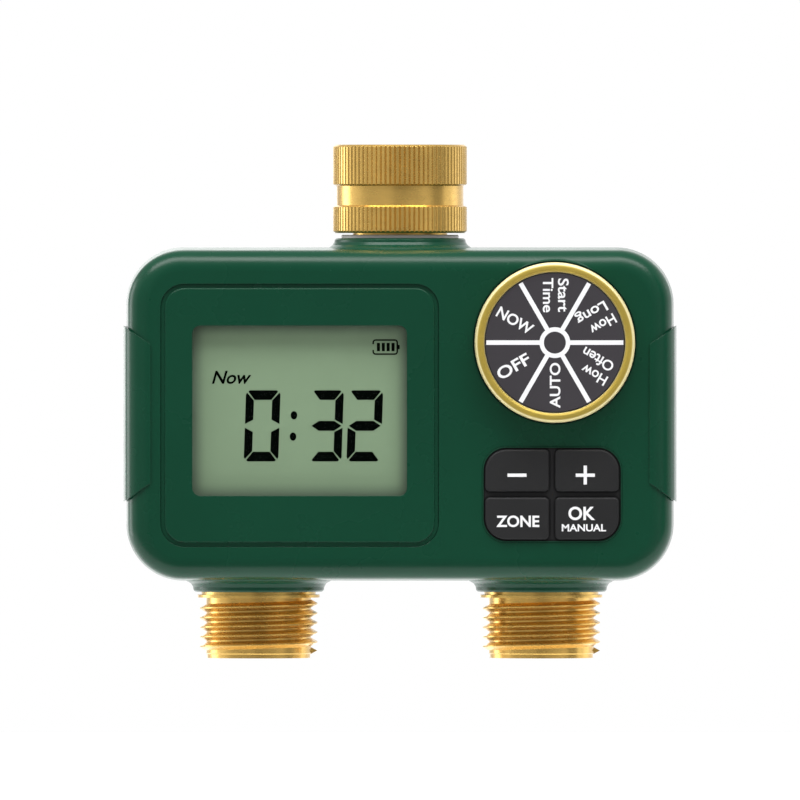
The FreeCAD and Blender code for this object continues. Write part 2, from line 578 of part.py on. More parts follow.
# ============================================================ valve manifold
solid = [turned([(0, -28.9), (0, -18.7), (11.6, -18.7), (11.6, -27.6), (p.tube_r + 0.8, -30.4),
                 (p.tube_r, -31.2), (p.tube_r, p.cross_z - p.cross_r), (0, p.cross_z - p.cross_r)],
                name="DownTube"),
         cyl(p.cross_r, -26, 26, z=p.cross_z, axis="X", name="CrossTube")]
bores = [turned([(0, p.cross_z), (p.tube_bore, p.cross_z), (p.tube_bore, -28.6), (7.0, -27.4),
                 (9.08, -27.4), (9.08, -18), (0, -18)], name="DownBore"),
         cyl(p.cross_bore, -(p.outlet_x - 8.6), p.outlet_x - 8.6, z=p.cross_z, axis="X",
             name="CrossBore")]
for side, x in LR:
    solid.append(turned([(0, p.socket_bot), (p.socket_r, p.socket_bot), (p.socket_r, -80.6),
                         (p.chamber_r, -79.2), (p.chamber_r, -66.6),
                         (p.chamber_flange_r, -65.6), (p.chamber_flange_r, p.chamber_top),
                         (0, p.chamber_top)], x=x, name="Chamber"))
    bores.append(turned([(p.seat_bore, -79.6), (p.seat_bore, p.seat_rim),
                         (p.seat_r, p.seat_rim), (p.seat_r, p.chamber_floor),
                         (p.chamber_bore, p.chamber_floor), (p.chamber_bore, -62),
                         (0, -62), (0, -90), (p.socket_bore, -90), (p.socket_bore, -79.6)],
                        x=x, name="ChamberBore"))
    for k in range(4):
        a = math.radians(45 + 90 * k)
        bores.append(cyl(1.0, -66.4, -60, x=x + p.screw_ring_r * math.cos(a),
                         y=p.screw_ring_r * math.sin(a), name="BonnetPilot"))
node(cut(fuse(solid, "ManifoldSolid"), bores, "Manifold"), "manifold")

screws = []
for side, x in LR:
    c = p.chamber_flange_r
    bon = turned([(c, p.bonnet_bot), (c, p.bonnet_top), (12.2, p.bonnet_top),
                  (11.2, -57.9), (6.6, -57.4), (6.6, -55.2), (5.35, -55.2), (5.35, -57.3),
                  (1.7, -57.3), (1.7, -56.8), (0.8, -56.8), (0.8, -59.2), (9.8, -59.2),
                  (9.8, p.bonnet_bot)], x=x, name="Bonnet")
    clear = [cyl(1.05, -64, -58, x=x + p.screw_ring_r * math.cos(math.radians(45 + 90 * k)),
                 y=p.screw_ring_r * math.sin(math.radians(45 + 90 * k)), name="BonnetHole")
             for k in range(4)]
    node(cut(bon, clear, "BonnetCut"), "valve_bonnet_" + side)
    for k in range(4):
        a = math.radians(45 + 90 * k)
        screws.append(turned([(0, -65.8), (0.7, -65.6), (0.95, -63), (0.95, -59.2), (1.75, -59.2),
                              (1.75, -58.3), (1.4, -57.9), (0, -57.9)],
                             x=x + p.screw_ring_r * math.cos(a), y=p.screw_ring_r * math.sin(a),
                             name="BonnetScrew"))
    # clamped rim, rolled web and inner lip of the diaphragm
    node(turned([(12.9, -62.98), (12.9, -62.02), (11.4, -62.02), (10.4, -63.5), (9.2, -64.3),
                 (7.75, -64.3), (7.75, -64.9), (9.4, -64.9), (11.0, -63.9), (11.9, -62.98)],
                x=x, name="Diaphragm"), "diaphragm_" + side)
    node(turned([(0, -69.2), (3.2, -69.2), (4.3, -68.2), (4.3, -65.2), (p.poppet_r, -65.2),
                 (p.poppet_r, -63.6), (3.6, -63.6), (3.6, -62.2), (3.1, -62.0), (0, -62.0)],
                x=x, name="Poppet"), "valve_poppet_" + side)
    node(coil_spring(5.6, 0.35, -63.3, -59.25, 3, x, name="PoppetSpring"), "diaphragm_spring_" + side)
    node(turned([(0, -33.46), (0, -35.0), (p.core_bore, -35.0), (p.core_bore, -57.25),
                 (5.3, -57.25), (5.3, -33.46)], x=x, name="CoreTube"), "core_tube_" + side)
    node(turned([(0, -56.4), (1.9, -56.4), (2.2, -55.6), (p.plunger_r, -55.6), (p.plunger_r, -38.0),
                 (2.9, -38.0), (2.9, -41.0), (0, -41.0)], x=x, name="Plunger"), "plunger_" + side)
    node(coil_spring(2.3, 0.3, -40.95, -35.05, 5, x, name="PlungerSpring"), "plunger_spring_" + side)
    node(turned([(5.4, p.coil_bot), (p.coil_r, p.coil_bot), (p.coil_r, -53.6), (10.0, -53.6),
                 (10.0, -35.0), (p.coil_r, -35.0), (p.coil_r, p.coil_top), (5.4, p.coil_top)],
                x=x, name="Coil"), "solenoid_coil_" + side)
    node(cut(fuse([box(x - 13.2, x + 13.2, -7, 7, -33.4, -31.6), box(x - 13.2, x - 11.6, -7, 7, -55.2, -31.6),
                   box(x + 11.6, x + 13.2, -7, 7, -55.2, -31.6)], "Yoke"),
             [cyl(3.0, -35, -30, x=x)], "YokeCut"), "solenoid_frame_" + side)
node(fuse(screws, "BonnetScrews"), "bonnet_screws")

# ================================================================= display
fy = -p.front_depth
rim = p.bezel_gap - 0.08
node(cut(fuse([slab(p.bezel_left, p.bezel_right, p.bezel_bot, p.bezel_top, p.bezel_corner,
                    fy + p.bezel_t - 0.01, fy, None, q(0.3), "BezelPlate"),
               slab(p.bezel_left - rim, p.bezel_right + rim, p.bezel_bot - rim, p.bezel_top + rim,
                    p.bezel_corner + rim, fy + p.bezel_t - 0.01, fy + p.bezel_step,
                    name="BezelRim")], "BezelSolid"),
         [slab(p.win_left, p.win_right, p.win_bot, p.win_top, p.win_corner, -20, -30,
               name="WindowCut")], "Bezel"), "display_bezel")
ll = p.lens_lap
node(slab(p.win_left - ll, p.win_right + ll, p.win_bot - ll, p.win_top + ll, p.win_corner + 0.5,
          fy + p.bezel_t + p.lens_t, fy + p.bezel_t + 0.02, None, None, "Lens"), "display_lens")
lx0, lx1, lz0, lz1 = p.win_left - 0.8, p.win_right + 0.8, p.win_bot - 0.8, p.win_top + 0.8
node(fuse([box(lx0, lx1, p.lcd_front, p.lcd_front + p.lcd_t / 2, lz0, lz1, "FrontGlass"),
           box(lx0, lx1, p.lcd_front + p.lcd_t / 2, p.lcd_front + p.lcd_t, lz0, lz1 - 2.2,
               "RearGlass")], "Glass"), "lcd_glass")
node(cut(box(lx0 - 1.6, lx1 + 1.6, in_y + 0.15, p.board_front - 0.05, lz0 - 1.6, lz1 + 1.6, "Holder"),
         [box(lx0 - 0.1, lx1 + 0.1, -26, p.lcd_front + p.lcd_t + 0.02, lz0 - 0.1, lz1 + 0.1),
          box(lx0 + 1.0, lx1 - 1.0, -26, -15, lz0 + 0.6, lz1 - 0.6)], "HolderCut"), "lcd_holder")
zy0, zy1 = p.lcd_front + p.lcd_t + 0.02, p.board_front - 0.02
node(fuse([box(lx0 + 2, lx1 - 2, zy0, zy1, lz1 - 4.4, lz1 - 2.6),
           box(lx0 + 2, lx1 - 2, zy0, zy1, lz0 + 0.9, lz0 + 2.7)], "Zebra"), "zebra_strips")

# =================================================================== board
bf, bb = p.board_front, p.board_front + p.board_t
node(cut(slab(p.board_left, p.board_right, p.board_bot, p.board_top, 2.0, bb, bf, name="Board"),
         [cyl(1.15, -21, -15, x=x, z=z, axis="Y", name="BoardHole") for x, z in BOARD_POSTS],
         "BoardCut"), "main_pcb")
node(fuse([box(-38, -28, bf - 1.6, bf, -56, -46, "Chip"), box(-20, -14, bf - 1.3, bf, -52, -47, "Chip"),
           box(-8, -5, bf - 1.0, bf, -60, -56, "Chip"), cyl(1.6, bf - 1.9, bf, x=-12, z=-62, axis="Y"),
           box(-48.5, -41.5, bb, bb + 5.6, -75.0, -70.0, "Plug"), box(-50, -46.5, bb, bb + 5.6, -40, -30, "Plug"),
           box(46.5, 50, bb, bb + 5.6, -50, -40, "Plug"), cyl(4.0, bb, bb + 5.0, x=0, z=-34, axis="Y"),
           box(8, 14, bf - 1.4, bf, -52, -46, "Chip"), box(10, 12.6, bf - 3.4, bf, -44, -38, "Crystal")],
          "Parts"), "pcb_components")
node(fuse([turned([(0, -23.8), (0.6, -23.6), (0.8, -23), (0.8, bb), (1.9, bb), (1.9, bb + 0.9),
                   (1.5, bb + 1.2), (0, bb + 1.2)], x=x, z=z, axis="Y", name="BoardScrew")
           for x, z in BOARD_POSTS], "BoardScrews"), "pcb_screws")
node(fuse([turned([(2.9, bf - 1.0), (9.6, bf - 1.0), (9.6, bf - 0.01), (2.9, bf - 0.01)], x=p.dial_x, z=p.dial_z,
                  axis="Y", name="SwitchBase"),
           box(p.dial_x - 11.2, p.dial_x + 11.2, bf - 0.7, bf - 0.01, p.dial_z - 3, p.dial_z + 3,
               "SwitchTabs")], "Switch"), "rotary_switch_base")
node(torus(3.92, 0.86, p.dial_x, -24.27, p.dial_z, "Y", "ShaftSeal"), "dial_seal")

# =================================================================== dial
at = dict(x=p.dial_x, z=p.dial_z, axis="Y")
node(turned([(0, p.dial_plate_y), (p.dial_ring_in - 0.1, p.dial_plate_y), (p.dial_ring_in - 0.1, -28.2),
             (p.dial_skirt_r, -28.2), (p.dial_skirt_r, p.dial_back), (p.dial_shaft_r, p.dial_back),
             (p.dial_shaft_r, -22.9), (2.4, -22.9), (2.4, -20.7), (0, -20.7)], name="Knob", **at),
     "dial_knob")
node(turned([(p.dial_ring_in, -28.21), (p.dial_ring_in, p.dial_front + 0.75),
             (p.dial_ring_in + 0.25, p.dial_front + 0.25), (p.dial_ring_in + 0.75, p.dial_front),
             (p.dial_ring_r - 0.95, p.dial_front), (p.dial_ring_r - 0.3, p.dial_front + 0.25),
             (p.dial_ring_r, p.dial_front + 0.9), (p.dial_ring_r, -28.21)], name="TrimRing", **at),
     "dial_trim_ring")
node(turned([(0, p.dial_face_y), (p.dial_ring_in - 0.12, p.dial_face_y),
             (p.dial_ring_in - 0.12, p.dial_plate_y - 0.01), (0, p.dial_plate_y - 0.01)],
            name="FaceDisc", **at), "dial_face")
wipers = [turned([(2.42, -22.8), (p.dial_disc_r, -22.8), (p.dial_disc_r, -21.4), (2.42, -21.4)],
                 name="ContactDisc", **at)]
for a in (30, 150, 270):
    wipers.append(cyl(0.9, -21.6, -20.4, x=p.dial_x + 6.4 * math.cos(math.radians(a)),
                      z=p.dial_z + 6.4 * math.sin(math.radians(a)), axis="Y", name="Wiper"))
node(fuse(wipers, "Contact"), "dial_contact_disc")

# ================================================================= buttons
kx, kz = (p.keys_left + p.keys_right) / 2, (p.keys_top + p.keys_bot) / 2
hg = p.keys_groove / 2
ro, ri = p.keys_corner, p.keys_inner_corner
KEYS = [("button_minus", p.keys_left, kx - hg, kz + hg, p.keys_top, (ri, ri, ri, ro)),
        ("button_plus", kx + hg, p.keys_right, kz + hg, p.keys_top, (ri, ri, ro, ri)),
        ("button_zone", p.keys_left, kx - hg, p.keys_bot, kz - hg, (ro, ri, ri, ri)),
        ("button_ok", kx + hg, p.keys_right, p.keys_bot, kz - hg, (ri, ro, ri, ri))]
wells = []
for name, x0, x1, z0, z1, radii in KEYS:
    kg = p.key_gap
    cap = slab(x0, x1, z0, z1, radii, p.key_back, p.key_front, None, q(0.45), "KeyCap")
    lip = slab(x0 - 0.5, x1 + 0.5, z0 - 0.5, z1 + 0.5, [r + 0.3 for r in radii], p.key_back,
               p.key_back - 0.8, name="KeyLip")
    stub = cyl(p.key_stub_r, p.key_back - 0.3, p.key_stub_back, x=(x0 + x1) / 2, z=(z0 + z1) / 2,
               axis="Y", name="KeyStub")
    node(fuse([cap, lip, stub], "Key"), name)
    wells.append(slab(x0 - kg, x1 + kg, z0 - kg, z1 + kg, [r + kg for r in radii], -18, -30,
                      name="KeyWell"))
kl, kr, kb, kt = p.keys_left, p.keys_right, p.keys_bot, p.keys_top
plate = cut(fuse([slab(kl - 2.2, kr + 2.2, kb - 2.2, kt + 2.2, ro + 1.6, -23.0, in_y + 0.05, name="MatPlate"),
                  slab(kl - 0.65, kr + 0.65, kb - 0.65, kt + 0.65, ro + 0.6, in_y + 0.1, fy - 0.15,
                       name="MatRim")], "Mat"), wells, "MatCut")
skirt = cut(slab(kl - 2.2, kr + 2.2, kb - 2.2, kt + 2.2, ro + 1.6, p.board_front - 0.02, -23.1,
                 name="MatSkirt"),
            [slab(kl - 1.0, kr + 1.0, kb - 1.0, kt + 1.0, ro + 0.5, -18, -24, name="MatInside")],
            "SkirtCut")
node(fuse([plate, skirt], "Keypad"), "keypad_frame")

# ============================================================= battery bay
bw = p.bay_wall
tray = cut(box(-p.bay_half_w, p.bay_half_w, p.bay_floor, out_y - 1.0, p.bay_bot, p.bay_top, "Tray"),
           [box(-p.bay_half_w + bw, p.bay_half_w - bw, p.bay_floor + bw, 40, p.bay_bot + bw,
                p.bay_top - bw, "TrayHollow")], "TrayCut")
flange = cut(fuse([box(-34.4, 34.4, out_y - 2, out_y - 0.02, -77.4, -37.4, "Flange"),
                   box(-34.4, 34.4, out_y - 2, out_y - 1.3, -37.5, -31.0, "FlangeStep")], "FlangeAll"),
             [box(-p.bay_half_w + bw, p.bay_half_w - bw, 20, 40, p.bay_bot + bw, p.bay_top - bw,
                  "TrayMouth")], "FlangeCut")
node(fuse([tray, flange], "Bay"), "battery_box")
cells = []
for z, s in ((p.cell_z_a, 1), (p.cell_z_b, -1)):
    h = p.cell_len / 2
    cells.append(turned([(0, -h * s), (p.cell_r - 0.5, -h * s), (p.cell_r, (-h + 0.5) * s),
                         (p.cell_r, (h - 0.5) * s), (p.cell_r - 0.5, h * s), (2.75, h * s),
                         (2.75, (h + 0.95) * s), (0, (h + 0.95) * s)],
                        y=p.cell_y, z=z, axis="X", name="Cell"))
node(fuse(cells, "Cells"), "battery_cells")
plates = []
for z, s in ((p.cell_z_a, 1), (p.cell_z_b, -1)):
    h = p.cell_len / 2
    e = p.bay_half_w - bw
    for t in (-1, 1):
        a, b = (e - 0.55, e - 0.05) if t > 0 else (-e + 0.05, -e + 0.55)
        plates.append(box(a, b, p.cell_y - 5, p.cell_y + 5, z - 5, z + 5, "ContactPlate"))
    near = -s
    a, b = (h + 0.05, e - 0.3) if near > 0 else (-e + 0.3, -h - 0.05)
    plates.append(cyl(3.2, a, b, y=p.cell_y, z=z, axis="X", name="ContactCoil"))
    a, b = (h + 1.0, e - 0.3) if s > 0 else (-e + 0.3, -h - 1.0)
    plates.append(cyl(2.2, a, b, y=p.cell_y, z=z, axis="X", name="ContactDimple"))
node(fuse(plates, "Contacts"), "battery_contacts")

dy0, dy1 = p.rear_depth - p.door_t, p.rear_depth
dw = p.door_half_w
door = fuse([slab(-dw, dw, p.door_bot, p.door_top, (2.0, 2.0, 0.5, 0.5), dy0, dy1, None, q(0.35), "DoorPanel"),
             box(-p.barrel_half, p.barrel_half, dy0 + 0.1, dy1 - 0.02, p.door_top - 1, p.hinge_z, "DoorRoot"),
             cyl(p.hinge_r, -p.barrel_half, p.barrel_half, y=p.hinge_y, z=p.hinge_z, axis="X",
                 name="Barrel")], "DoorSolid")
node(cut(door, [cyl(p.hinge_bore_r, -p.barrel_half - 1, p.barrel_half + 1, y=p.hinge_y, z=p.hinge_z,
                    axis="X", name="BarrelBore"),
                cyl(5.0, -9, 9, y=p.rear_depth + 4.0, z=p.door_bot + 4.4, axis="X", name="FingerScoop")],
         "Door"), "battery_door")
node(cut(slab(-dw + 0.5, dw - 0.5, p.door_bot + 0.5, p.door_top - 1.4, 2.0, dy0 - 0.3, dy0, name="DoorSeal"),
         [slab(-dw + 2.2, dw - 2.2, p.door_bot + 2.2, p.door_top - 3.1, 1.0, dy0 - 2, dy0 + 2,
               name="DoorSealHole")], "DoorSealCut"), "battery_door_gasket")
node(cyl(p.hinge_pin_r - 0.01, -28, 28, y=p.hinge_y, z=p.hinge_z, axis="X", name="HingePin"),
     "door_hinge_pin")

# ================================================================== output
doc.recompute()
bad = []
for o in doc.Objects:
    if "Invalid" in o.State or "Error" in o.State:
        bad.append((o.Name, o.Label, o.State))
labels = [o.Label for o in NODES]
for o in NODES:
    if o.Shape.isNull() or not o.Shape.isValid() or o.Shape.Volume <= 0:
        bad.append((o.Name, o.Label, "shape"))
if bad or len(set(labels)) != len(labels) or max(len(s) for s in labels) >= 60:
    raise RuntimeError("sub-parts that did not build: %s" % bad)
os.makedirs("parts", exist_ok=True)
for o in NODES:
    o.Shape.exportStep("parts/%s.step" % o.Label)
    bb_ = o.Shape.BoundBox
    print("%-24s solids %2d vol %9.1f  x %7.2f %7.2f  y %7.2f %7.2f  z %8.2f %8.2f" % (
        o.Label, len(o.Shape.Solids), o.Shape.Volume, bb_.XMin, bb_.XMax, bb_.YMin, bb_.YMax,
        bb_.ZMin, bb_.ZMax))
print("nodes", len(NODES))
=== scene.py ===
import json
import math

import bmesh
import bpy
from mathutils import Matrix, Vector


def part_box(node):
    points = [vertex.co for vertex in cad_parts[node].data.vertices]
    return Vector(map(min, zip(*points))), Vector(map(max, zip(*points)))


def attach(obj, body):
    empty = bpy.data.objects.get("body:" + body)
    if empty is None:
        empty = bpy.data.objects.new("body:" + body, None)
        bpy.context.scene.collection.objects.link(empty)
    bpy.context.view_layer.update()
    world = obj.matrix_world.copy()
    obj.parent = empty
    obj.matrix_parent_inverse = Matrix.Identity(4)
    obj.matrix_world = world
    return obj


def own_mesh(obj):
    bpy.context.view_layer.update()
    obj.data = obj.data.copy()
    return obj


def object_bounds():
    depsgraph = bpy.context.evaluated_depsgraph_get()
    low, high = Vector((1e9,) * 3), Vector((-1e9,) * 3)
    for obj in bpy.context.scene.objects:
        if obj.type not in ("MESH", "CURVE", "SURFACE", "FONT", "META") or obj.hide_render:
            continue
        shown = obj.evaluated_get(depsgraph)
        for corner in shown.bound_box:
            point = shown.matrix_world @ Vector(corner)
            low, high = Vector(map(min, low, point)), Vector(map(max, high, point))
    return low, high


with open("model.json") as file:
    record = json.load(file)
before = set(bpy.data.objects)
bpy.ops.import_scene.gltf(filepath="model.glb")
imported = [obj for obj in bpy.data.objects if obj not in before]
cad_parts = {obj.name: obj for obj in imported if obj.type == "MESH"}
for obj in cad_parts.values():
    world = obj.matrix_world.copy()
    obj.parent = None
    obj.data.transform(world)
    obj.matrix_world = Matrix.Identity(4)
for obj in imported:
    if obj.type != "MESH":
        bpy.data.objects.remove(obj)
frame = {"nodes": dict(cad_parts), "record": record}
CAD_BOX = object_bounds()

nodes, record = frame["nodes"], frame["record"]
MM = 0.001
FRONT_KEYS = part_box("button_plus")[0].y
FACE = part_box("dial_face")[0].y
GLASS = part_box("lcd_glass")[0].y
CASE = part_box("display_bezel")[0].y


def lin(r, g, b):
    """Display colour 0-255 to scene-linear."""
    out = []
    for c in (r, g, b):
        c /= 255.0
        out.append(c / 12.92 if c <= 0.04045 else ((c + 0.055) / 1.055) ** 2.4)
    return (out[0], out[1], out[2], 1.0)


# ------------------------------------------------------------------ materials
class Nodes:
    """Short hand for a material's node tree."""

    def __init__(self, name):
        self.mat = bpy.data.materials.new(name)
        self.mat.use_nodes = True
        self.t = self.mat.node_tree
        self.t.nodes.clear()
        self.out = self.t.nodes.new("ShaderNodeOutputMaterial")
        self.b = self.t.nodes.new("ShaderNodeBsdfPrincipled")
        self.t.links.new(self.b.outputs[0], self.out.inputs["Surface"])
        self.coord = self.t.nodes.new("ShaderNodeTexCoord")

    def link(self, a, b):
        self.t.links.new(a, b)

    def new(self, kind, **values):
        n = self.t.nodes.new(kind)
        for k, v in values.items():
            setattr(n, k, v)
        return n

    def place(self, stretch=(1, 1, 1)):
        m = self.new("ShaderNodeMapping")
        m.inputs["Scale"].default_value = stretch
        self.link(self.coord.outputs["Object"], m.inputs["Vector"])
        return m.outputs["Vector"]

    def noise(self, scale, detail=2.0, rough=0.5, stretch=(1, 1, 1)):
        n = self.new("ShaderNodeTexNoise")
        n.inputs["Scale"].default_value = scale
        n.inputs["Detail"].default_value = detail
        n.inputs["Roughness"].default_value = rough
        self.link(self.place(stretch), n.inputs["Vector"])
        return n.outputs["Fac"]

    def remap(self, value, a, b, c, d, smooth=False):
        m = self.new("ShaderNodeMapRange")
        if smooth:
            m.interpolation_type = "SMOOTHSTEP"
        for k, v in zip(("From Min", "From Max", "To Min", "To Max"), (a, b, c, d)):
            m.inputs[k].default_value = v
        self.link(value, m.inputs["Value"])
        return m.outputs["Result"]

    def math(self, op, a, b=None):
        m = self.new("ShaderNodeMath", operation=op)
        for i, v in enumerate((a, b)):
            if v is None:
                continue
            if isinstance(v, (int, float)):
                m.inputs[i].default_value = v
            else:
                self.link(v, m.inputs[i])
        return m.outputs[0]

    def blend(self, fac, a, b, mode="MIX"):
        m = self.new("ShaderNodeMix", data_type="RGBA", blend_type=mode)
        for i, v in ((0, fac), (6, a), (7, b)):
            if isinstance(v, (int, float)):
                m.inputs[i].default_value = v
            elif isinstance(v, tuple):
                m.inputs[i].default_value = v
            else:
                self.link(v, m.inputs[i])
        return m.outputs[2]

    def edge(self, radius):
        """0 on flat areas, up to 1 on edges; also gives the rounded normal."""
        bev = self.new("ShaderNodeBevel", samples=4)
        bev.inputs["Radius"].default_value = radius
        geo = self.new("ShaderNodeNewGeometry")
        dot = self.new("ShaderNodeVectorMath", operation="DOT_PRODUCT")
        self.link(bev.outputs["Normal"], dot.inputs[0])
        self.link(geo.outputs["Normal"], dot.inputs[1])
        return self.remap(dot.outputs["Value"], 0.98, 0.80, 0.0, 1.0), bev.outputs["Normal"]

    def bump(self, height, distance, strength, normal=None):
        b = self.new("ShaderNodeBump")
        b.inputs["Distance"].default_value = distance
        b.inputs["Strength"].default_value = strength
        self.link(height, b.inputs["Height"])
        if normal is not None:
            self.link(normal, b.inputs["Normal"])
        self.link(b.outputs["Normal"], self.b.inputs["Normal"])
        return b

    def set(self, **values):
        for k, v in values.items():
            self.b.inputs[k.replace("_", " ")].default_value = v
        return self


def scaled(c, k):
    return (c[0] * k, c[1] * k, c[2] * k, 1.0)


def plastic(name, colour, rough=(0.34, 0.42), grain=0.10, grain_scale=2600, edge=0.00018,
            edge_highlight_gain=1.22, coat=0.0, coat_rough=0.25, spec=0.5):
    m = Nodes(name)
    large = m.noise(22, 3, 0.55)
    fine = m.noise(grain_scale, 2, 0.55)
    tone = m.remap(large, 0.3, 0.7, 0.0, 1.0, True)
    base = m.blend(tone, scaled(colour, 0.955), scaled(colour, 1.045))
    mask, normal = m.edge(edge)
    # Painted highlight: the base colour is lightened along bevelled edges, broken up by noise.
    sheen_breakup = m.remap(m.noise(900, 4, 0.7), 0.35, 0.75, 0.2, 1.0)
    base = m.blend(m.math("MULTIPLY", m.math("MULTIPLY", mask, sheen_breakup), 0.55), base,
                   scaled(colour, edge_highlight_gain))
    m.link(base, m.b.inputs["Base Color"])
    smear = m.noise(48, 4, 0.6)
    m.link(m.remap(smear, 0.3, 0.72, rough[0], rough[1]), m.b.inputs["Roughness"])
    m.bump(fine, 0.00004, grain, normal)
    m.b.inputs["Specular IOR Level"].default_value = spec
    m.b.inputs["Coat Weight"].default_value = coat
    m.b.inputs["Coat Roughness"].default_value = coat_rough
    return m.mat


def brass(name, colour, rough=(0.2, 0.34), turned=(40, 40, 5200), streak=0.35, edge=0.00008,
          dark=0.80, spots=0.0, metallic=1.0, painted_rims=None):
    m = Nodes(name)
    lathe = m.noise(1.0, 3, 0.6, turned)
    cloud = m.noise(70, 4, 0.6)
    base = m.blend(m.remap(cloud, 0.35, 0.7, 0.0, 1.0, True), colour, scaled(colour, dark))
    base = m.blend(m.remap(lathe, 0.4, 0.62, 0.0, 0.30), base, scaled(colour, dark * 0.92))
    mask, normal = m.edge(edge)
    # Painted highlight: the colour is lightened along bevelled edges.
    base = m.blend(m.math("MULTIPLY", mask, 0.5), base, scaled(colour, 1.10))
    # Painted highlight: pale bands painted near the given inner and outer radii round (cx, cz).
    if painted_rims:
        (cx, cz), (a, b, c, d), highlight_tint = painted_rims
        sep = m.new("ShaderNodeSeparateXYZ")
        m.link(m.coord.outputs["Object"], sep.inputs[0])
        dx, dz = m.math("SUBTRACT", sep.outputs["X"], cx), m.math("SUBTRACT", sep.outputs["Z"], cz)
        r = m.math("SQRT", m.math("ADD", m.math("MULTIPLY", dx, dx), m.math("MULTIPLY", dz, dz)))
        rim_highlight = m.math("MAXIMUM", m.remap(r, a, b, 0.8, 0.0, True), m.remap(r, c, d, 0.0, 0.9, True))
        base = m.blend(rim_highlight, base, highlight_tint)
    if spots:
        tarnish = m.remap(m.noise(420, 5, 0.7), 0.60, 0.72, 0.0, spots)
        base = m.blend(tarnish, base, scaled(colour, 0.45))
    m.link(base, m.b.inputs["Base Color"])
    r = m.math("ADD", m.remap(cloud, 0.3, 0.7, rough[0], rough[1]),
               m.remap(lathe, 0.35, 0.65, -0.03, 0.05))
    m.link(r, m.b.inputs["Roughness"])
    m.bump(lathe, 0.00002, streak, normal)
    m.set(Metallic=metallic)
    return m.mat


def metal(name, colour, rough=(0.22, 0.34), stretch=(200, 200, 200)):
    return brass(name, colour, rough, stretch, 0.12, 0.00006, 0.88)


def rubber(name, colour, rough=(0.55, 0.7), spec=0.3, grain=0.22, edge_sheen_gain=1.5, edge=0.00025):
    m = Nodes(name)
    fine = m.noise(3600, 3, 0.6)
    cloud = m.noise(60, 4, 0.6)
    base = m.blend(m.remap(cloud, 0.3, 0.7, 0.0, 1.0, True), scaled(colour, 0.93),
                   scaled(colour, 1.08))
    mask, normal = m.edge(edge)
    # Painted highlight: the colour is lightened along bevelled edges.
    base = m.blend(m.math("MULTIPLY", mask, 0.6), base, scaled(colour, edge_sheen_gain))
    m.link(base, m.b.inputs["Base Color"])
    m.link(m.remap(cloud, 0.3, 0.7, rough[0], rough[1]), m.b.inputs["Roughness"])
    m.bump(fine, 0.00003, grain, normal)
    m.b.inputs["Specular IOR Level"].default_value = spec
    return m.mat


def web_rubber(name, colour):
    """Rubber web between the keys; its outer edge is painted nearly black, a painted shade for the gap round
    the keys.
    """
    mat = rubber(name, colour, (0.5, 0.62), 0.18, 0.15)
    m = Nodes.__new__(Nodes)
    m.mat, m.t = mat, mat.node_tree
    m.b = [n for n in m.t.nodes if n.type == "BSDF_PRINCIPLED"][0]
    m.coord = [n for n in m.t.nodes if n.type == "TEX_COORD"][0]
    sep = m.new("ShaderNodeSeparateXYZ")
    m.link(m.coord.outputs["Object"], sep.inputs[0])
    dx = m.math("SUBTRACT", m.math("ABSOLUTE", m.math("SUBTRACT", sep.outputs["X"], 0.035)), 0.0105)
    dz = m.math("SUBTRACT", m.math("ABSOLUTE", m.math("ADD", sep.outputs["Z"], 0.07015)), 0.00545)
    dx, dz = m.math("MAXIMUM", dx, 0.0), m.math("MAXIMUM", dz, 0.0)
    away = m.math("SQRT", m.math("ADD", m.math("MULTIPLY", dx, dx), m.math("MULTIPLY", dz, dz)))
    # Painted shade: the outer part of the web is painted nearly black where the gap lies in shade.
    gap_shade = m.remap(away, 0.00485, 0.00500, 0.0, 0.92, True)
    skin = m.remap(away, 0.00526, 0.00534, 0.0, 1.0, True)
    base = m.b.inputs["Base Color"].links[0].from_socket
    base = m.blend(gap_shade, base, lin(5, 6, 6))
    m.link(m.blend(skin, base, GREEN), m.b.inputs["Base Color"])
    return mat


def ink(name, colour, rough=0.45, spec=0.4):
    m = Nodes(name)
    grain = m.noise(5200, 3, 0.6)
    cloud = m.noise(160, 3, 0.6)
    m.link(m.blend(m.remap(cloud, 0.3, 0.7, 0.0, 1.0), scaled(colour, 0.94), colour),
           m.b.inputs["Base Color"])
    m.link(m.remap(grain, 0.3, 0.7, rough - 0.05, rough + 0.08), m.b.inputs["Roughness"])
    m.bump(grain, 0.00001, 0.2)
    m.b.inputs["Specular IOR Level"].default_value = spec
    return m.mat


def display_panel(name, lo, hi):
    """Reflective liquid-crystal panel: even sage green, with painted shade toward the frame."""
    m = Nodes(name)
    sep = m.new("ShaderNodeSeparateXYZ")
    m.link(m.coord.outputs["Object"], sep.inputs[0])
    (x0, _, z0), (x1, _, z1) = lo, hi
    near = []
    for axis, a, b in (("X", x0, x1), ("Z", z0, z1)):
        near.append(m.remap(sep.outputs[axis], a, a + 0.0042, 0.0, 1.0, True))
        near.append(m.remap(sep.outputs[axis], b, b - 0.0036, 0.0, 1.0, True))
    inside = near[0]
    for n in near[1:]:
        inside = m.math("MULTIPLY", inside, n)
    mid, edge_shade = LCD_MID, LCD_PAINTED_SHADE
    cloud = m.noise(30, 3, 0.5)
    mid2 = m.blend(m.remap(cloud, 0.3, 0.7, 0.0, 1.0, True), scaled(mid, 0.975), scaled(mid, 1.02))
    m.link(m.blend(inside, edge_shade, mid2), m.b.inputs["Base Color"])
    m.link(m.remap(m.noise(700, 3, 0.6), 0.3, 0.7, 0.42, 0.5), m.b.inputs["Roughness"])
    m.bump(m.noise(4200, 2, 0.5), 0.00001, 0.12)
    m.b.inputs["Specular IOR Level"].default_value = 0.25
    return m.mat


def clear_lens(name):
    m = Nodes(name)
    m.set(Roughness=0.06, Alpha=0.02)
    m.b.inputs["Base Color"].default_value = lin(40, 46, 40)
    scratch = m.noise(1.0, 4, 0.6, (900, 60, 300))
    m.link(m.remap(scratch, 0.35, 0.7, 0.04, 0.12), m.b.inputs["Roughness"])
    m.bump(scratch, 0.000002, 0.08)
    return m.mat


